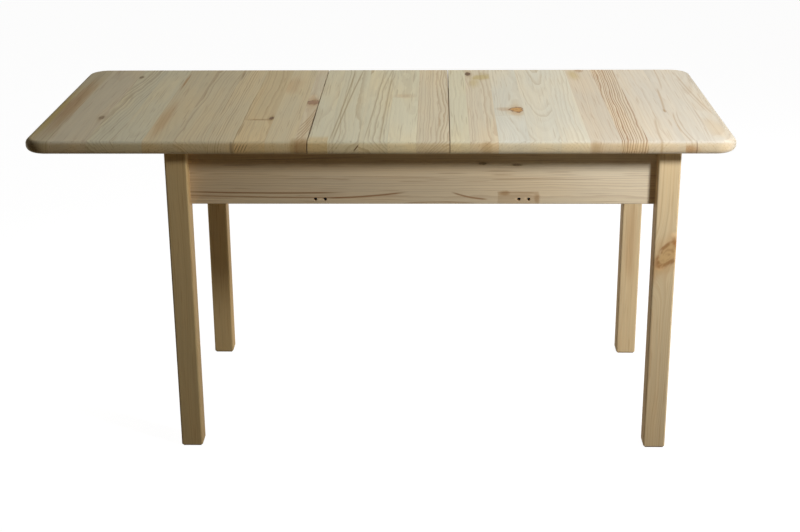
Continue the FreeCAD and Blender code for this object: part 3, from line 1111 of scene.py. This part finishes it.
# Painted shade: darkens and warms the front apron's left part, further from the lamps
PAINTED_APRON_SHADE = (0.97, 0.93, 0.86)
# Painted shade: darkens the top's rounded end edges at both ends of the table
PAINTED_END_SHADE = (0.84, 0.84, 0.84)
TEA = (0.92, 0.80, 0.63)
UMBER = (0.60, 0.48, 0.33)
BLUSH = (0.98, 0.92, 0.87)
# Front edge of the top, along the staves' grain
FRONT = -0.350
# A dark year line that two staves share
DARK_STREAK = GrainLine((-0.110, 0.629), (0.0, 0.637), (0.150, 0.645), 0.0045, 0.55)

LEFT_LEAF = Leaf("left", 1.0, (
    PineFinish(Tone.WARM, Cut.QUARTER, contrast=0.7, marks=(
        Mark(-0.712, -0.02, 0.024, 0.32, RUST, 0.65),
        Mark(-0.735, -0.10, 0.016, 0.34, MOSS, 0.85),
        # Painted shade over the left leaf's rounded end edge
        Mark(-0.750, 0.0, 0.080, 0.900, PAINTED_END_SHADE, 0.95, ragged=0.05, boxed=True, soft=0.7))),
    PineFinish(Tone.TAN, Cut.FLAT, contrast=0.4, knots=(
        Knot(-0.622, -0.144, 0.006, 0.013, KnotKind.FAINT),)),
    PineFinish(Tone.PALE, Cut.RIFT, ring=0.010, flip=True, lean=(0.03, 0.04), contrast=0.8, knots=(
        Knot(-0.608, 0.260, 0.005, 0.012, KnotKind.FAINT),)),
    PineFinish(Tone.PALE, Cut.FLAT, contrast=0.35),
    PineFinish(Tone.WARM, Cut.RIFT, contrast=0.5, marks=(
        Mark(-0.490, 0.21, 0.005, 0.12, RUST, 0.75),
        Mark(-0.478, -0.16, 0.020, 0.22, RUST, 0.45))),
    PineFinish(Tone.WARM, Cut.RIFT, ring=0.009, flip=True, contrast=0.8),
    PineFinish(Tone.WARM, Cut.QUARTER, ring=0.011, contrast=1.2, marks=(
        Mark(-0.357, 0.275, 0.003, 0.07, PITCH, 0.45),
        Mark(-0.308, FRONT, 0.004, 0.012, PITCH, 0.50))),
    PineFinish(Tone.HONEY, Cut.RIFT, contrast=0.6, joints=(-0.165,), block_paler=0.05, knots=(
        Knot(-0.243, -0.150, 0.005, 0.013, KnotKind.PIN),), marks=(
        Mark(-0.268, -0.162, 0.034, 0.010, BARK, 0.50, ragged=0.2, boxed=True),
        Mark(-0.299, -0.240, 0.003, 0.080, PITCH, 0.40),
        *(Mark(-0.304 + 0.0065 * stroke, FRONT, 0.0016, 0.020, PITCH, 0.60, ragged=0.1, soft=0.6,
               half_height=0.013, slant=0.5) for stroke in range(5)))),
    PineFinish(Tone.WARM, Cut.QUARTER, ring=0.010, flip=True, contrast=0.5, marks=(
        Mark(-0.225, 0.17, 0.035, 0.12, RUST, 0.30),
        Mark(-0.178, FRONT, 0.012, 0.04, UMBER, 0.60))),
    PineFinish(Tone.TAN, Cut.RIFT, contrast=0.5, knots=(
        Knot(-0.163, -0.003, 0.016, 0.020, KnotKind.RED, ragged=0.6),), marks=(
        Mark(-0.170, 0.045, 0.016, 0.040, CHIP, 0.50),
        Mark(-0.165, FRONT, 0.060, 0.050, UMBER, 0.85, ragged=0.2, soft=0.9),
        Mark(-0.150, -0.18, 0.0016, 0.20, PITCH, 0.60)), lines=tuple(
        GrainLine((-0.240 - 0.036 * arc, -0.178), (-0.165 - 0.036 * arc, -0.163),
                  (-0.050 - 0.042 * arc, -0.150), 0.0032, 0.62) for arc in range(5))),
))
INSERT_LEAF = Leaf("insert", 21.0, (
    PineFinish(Tone.PALE, Cut.FLAT, contrast=0.35, marks=(
        Mark(-0.128, FRONT, 0.060, 0.058, TEA, 0.90, ragged=0.10, boxed=True, soft=0.6),
        Mark(-0.148, -0.18, 0.0016, 0.20, PITCH, 0.60))),
    PineFinish(Tone.PALE, Cut.RIFT, ring=0.0105, contrast=0.7, random=0.9, marks=(
        Mark(-0.047, FRONT, 0.0022, 0.030, PITCH, 0.95, ragged=0.15, soft=0.5, height=0.001,
             half_height=0.009, slant=0.75),), lines=(
        GrainLine((-0.420, -0.106), (0.0, -0.090), (0.420, -0.080), 0.0028, 0.65),
        GrainLine((-0.420, -0.098), (0.0, -0.081), (0.420, -0.056), 0.0032, 0.70))),
    PineFinish(Tone.PALE, Cut.RIFT, ring=0.0105, flip=True, contrast=0.9, random=0.9, lines=(
        GrainLine((-0.420, -0.034), (0.0, -0.018), (0.420, -0.006), 0.0024, 0.50),
        GrainLine((-0.420, 0.002), (0.0, 0.008), (0.420, 0.014), 0.0024, 0.50))),
    PineFinish(Tone.PALE, Cut.FLAT, contrast=0.30, joints=(0.048,), marks=(
        Mark(0.048, 0.060, 0.036, 0.030, RUST, 0.30, ragged=0.3),)),
    PineFinish(Tone.TAN, Cut.RIFT, ring=0.0080, contrast=0.8, random=0.6, marks=(
        Mark(0.1488, 0.0, 0.0016, 0.700, PITCH, 0.60),)),
))
RIGHT_LEAF = Leaf("right", 31.0, (
    PineFinish(Tone.PALE, Cut.RIFT, ring=0.009, contrast=0.6, marks=(
        Mark(0.150, 0.0, 0.0016, 0.700, PITCH, 0.60),)),
    PineFinish(Tone.PINK, Cut.RIFT, ring=0.008, contrast=0.7, knots=(
        Knot(0.198, 0.291, 0.007, 0.018, KnotKind.PIN),), marks=(
        Mark(0.232, 0.258, 0.032, 0.055, MOSS, 0.70, ragged=0.6),
        Mark(0.212, 0.200, 0.018, 0.070, MOSS, 0.50, ragged=0.6),
        Mark(0.226, FRONT, 0.016, 0.012, EARTH, 0.35))),
    PineFinish(Tone.CLEAR, Cut.RIFT, contrast=0.4, joints=(-0.125,), block_paler=0.035, knots=(
        Knot(0.301, -0.075, 0.015, 0.026, KnotKind.ORANGE, ragged=0.6),), marks=(
        Mark(0.272, -0.070, 0.022, 0.030, RUST, 0.45),
        Mark(0.296, -0.110, 0.024, 0.020, BLUSH, 0.90, ragged=0.2),
        Mark(0.284, -0.245, 0.060, 0.120, SAP_AND_PAINTED_LIGHT, 0.22, ragged=0.0, boxed=True, soft=0.02))),
    PineFinish(Tone.CLEAR, Cut.FLAT, ring=0.006, lean=(0.02, 0.06), contrast=0.65),
    PineFinish(Tone.CLEAR, Cut.RIFT, ring=0.009, flip=True, contrast=0.6),
    PineFinish(Tone.SAND, Cut.QUARTER, ring=0.010, contrast=0.5, marks=(
        Mark(0.476, 0.335, 0.014, 0.045, EARTH, 0.60),
        Mark(0.458, 0.280, 0.020, 0.080, MOSS, 0.55),
        Mark(0.453, FRONT, 0.014, 0.014, EARTH, 0.35))),
    PineFinish(Tone.STRIPED, Cut.QUARTER, ring=0.0105, lean=(0.025, 0.014), random=0.3, contrast=1.15),
    PineFinish(Tone.EVEN, Cut.RIFT, ring=0.009, contrast=0.4, marks=(
        Mark(0.631, -0.085, 0.005, 0.022, EARTH, 0.70),), lines=(
        DARK_STREAK,
        GrainLine((-0.420, 0.589), (-0.270, 0.591), (-0.130, 0.603), 0.0045, 0.45))),
    PineFinish(Tone.EVEN, Cut.RIFT, ring=0.009, contrast=0.4, flip=True, lines=(
        DARK_STREAK,
        GrainLine((-0.380, 0.656), (-0.210, 0.641), (-0.080, 0.650), 0.0032, 0.50),
        GrainLine((-0.380, 0.664), (-0.230, 0.650), (-0.060, 0.660), 0.0026, 0.40),
        GrainLine((0.100, 0.652), (0.200, 0.660), (0.400, 0.664), 0.0035, 0.40)), marks=(
        Mark(0.648, FRONT, 0.032, 0.020, RUST, 0.70, height=-0.003, half_height=0.016),
        Mark(0.661, FRONT, 0.0016, 0.020, PITCH, 0.60))),
    PineFinish(Tone.EVEN, Cut.FLAT, lean=(0.0, 0.06), contrast=0.4, flip=True, marks=(
        Mark(0.716, -0.225, 0.034, 0.120, TEA, 0.50),
        # Painted shade over the right leaf's rounded end edge
        Mark(0.756, 0.0, 0.028, 0.900, PAINTED_END_SHADE, 0.95, ragged=0.05, boxed=True, soft=0.7)), lines=(
        GrainLine((-0.160, 0.738), (0.050, 0.720), (0.330, 0.710), 0.0040, 0.45),
        GrainLine((-0.130, 0.728), (0.060, 0.712), (0.250, 0.704), 0.0030, 0.35))),
))
FRAME = Underframe(
    legs={
        # The left legs take the darker leg tone that paints the shade on this side
        "front_left_leg": PineFinish(Tone.SHADED_SIDE_LEG, Cut.RIFT, contrast=0.5),
        "front_right_leg": PineFinish(Tone.LEG, Cut.RIFT, ring=0.006, contrast=0.6, flip=True, knots=(
            Knot(0.623, 0.466, 0.020, 0.032, KnotKind.BROWN, ragged=0.40, tilt=0.6),), marks=(
            Mark(0.636, 0.486, 0.010, 0.028, RUST, 0.90),
            Mark(0.606, 0.448, 0.022, 0.020, RUST, 0.45),
            Mark(0.634, 0.512, 0.010, 0.010, CHIP, 0.50),
            Mark(0.606, 0.436, 0.012, 0.010, CHIP, 0.45))),
        # Painted shade tone, as on the front left leg
        "rear_left_leg": PineFinish(Tone.SHADED_SIDE_LEG, Cut.QUARTER, contrast=0.5),
        "rear_right_leg": PineFinish(Tone.LEG, Cut.RIFT, contrast=0.4, flip=True, marks=(
            Mark(0.615, 0.300, 0.020, 0.160, RUST, 0.35),)),
    },
    aprons={
        "front_apron": PineFinish(
            Tone.RAIL, Cut.RAIL, ring=0.010, lean=(0.0, 0.0), wander=0.006, contrast=0.38, knots=(
                Knot(0.663, 0.220, 0.0025, 0.008, KnotKind.FAINT),
                Knot(0.660, 0.294, 0.0025, 0.010, KnotKind.FAINT)), marks=(
                Mark(0.587, 0.298, 0.014, 0.046, EARTH, 0.30, ragged=0.06, boxed=True, soft=0.06),
                Mark(0.597, 0.268, 0.008, 0.018, EARTH, 0.60),
                Mark(0.585, 0.338, 0.016, 0.010, EARTH, 0.50),
                Mark(0.584, 0.294, 0.004, 0.005, CHIP, 0.80),
                Mark(0.585, 0.314, 0.004, 0.005, CHIP, 0.80),
                Mark(0.584, -0.130, 0.003, 0.006, CHIP, 0.70),
                # Painted light on the apron's right end and painted shade on its left part, following the
                # lamps' fall-off
                Mark(0.640, 0.540, 0.130, 0.330, SAP_AND_PAINTED_LIGHT, 1.0, ragged=0.2),
                Mark(0.640, -0.380, 0.130, 0.330, PAINTED_APRON_SHADE, 0.90, ragged=0.2)), lines=(
                GrainLine((-0.450, 0.601), (-0.280, 0.5973), (-0.060, 0.5985), 0.0031, 0.95),
                GrainLine((-0.450, 0.5925), (-0.278, 0.5880), (-0.060, 0.5862), 0.0025, 0.75),
                GrainLine((-0.130, 0.5858), (-0.020, 0.5905), (0.066, 0.6005), 0.0034, 0.92),
                GrainLine((0.150, 0.6005), (0.185, 0.5895), (0.236, 0.5830), 0.0031, 0.85),
                GrainLine((0.040, 0.5735), (0.125, 0.5765), (0.215, 0.5735), 0.0022, 0.60),
                GrainLine((-0.380, 0.640), (-0.320, 0.640), (-0.230, 0.639), 0.0014, 0.40),
                GrainLine((-0.100, 0.634), (0.020, 0.633), (0.150, 0.631), 0.0014, 0.40))),
        "rear_apron": PineFinish(
            Tone.RAIL, Cut.RAIL, ring=0.010, lean=(0.004, 0.0), heart=0.10, wander=0.008),
        "left_apron": PineFinish(Tone.RAIL, Cut.QUARTER, ring=0.010, contrast=0.6),
        "right_apron": PineFinish(Tone.RAIL, Cut.QUARTER, ring=0.010, contrast=0.6, flip=True),
    },
    inner=PineFinish(Tone.EVEN, Cut.RIFT),
    beech=PlainFinish("beech", paint(206, 168, 128), paint(184, 142, 102),
                      roughness=0.45, metallic=0.0, mottle=60.0),
    screws=PlainFinish("black_screw", paint(52, 50, 48), paint(34, 33, 32),
                       roughness=0.5, metallic=1.0, mottle=300.0),
    bolts=PlainFinish("zinc_bolt", paint(188, 188, 186), paint(150, 151, 152),
                      roughness=0.35, metallic=1.0, mottle=300.0),
)
STUDIO = Studio(
    lamps=(
        Lamp("key_lamp", (1.15, -1.20, 1.31), (0.30, -0.2, 0.60), 0.22, 17.0, (0.96, 1.0, 1.08)),
        Lamp("top_lamp", (1.30, 0.75, 2.30), (0.25, 0.0, 0.70), 1.2, 29.2, (0.98, 1.0, 1.03)),
        Lamp("side_lamp", (1.50, -0.30, 0.15), (0.60, 0.25, 0.40), 0.3, 5.0, (0.98, 1.0, 1.03)),
        Lamp("back_lamp", (0.0, 1.60, 0.42), (0.05, 0.30, 0.50), 0.6, 6.0, (1.0, 0.99, 0.96)),
        Lamp("end_lamp", (-1.40, 0.34, 0.36), (-0.46, 0.05, 0.46), 0.3, 2.4, (1.0, 0.99, 0.96)),
    ),
    sky_colour=(1.0, 0.82, 0.55),
    sky_strength=0.028,
    bounce=(0.207, 0.158, 0.099),
)


def main() -> None:
    """Build and finish the table's sub-assemblies in order, then the studio round them."""
    logging.basicConfig(level=logging.INFO, format="%(message)s")
    shop = PineShop()
    FRAME.dress(shop)
    for leaf in (LEFT_LEAF, INSERT_LEAF, RIGHT_LEAF):
        leaf.dress(shop)
    STUDIO.build()


if __name__ == "__main__":
    main()
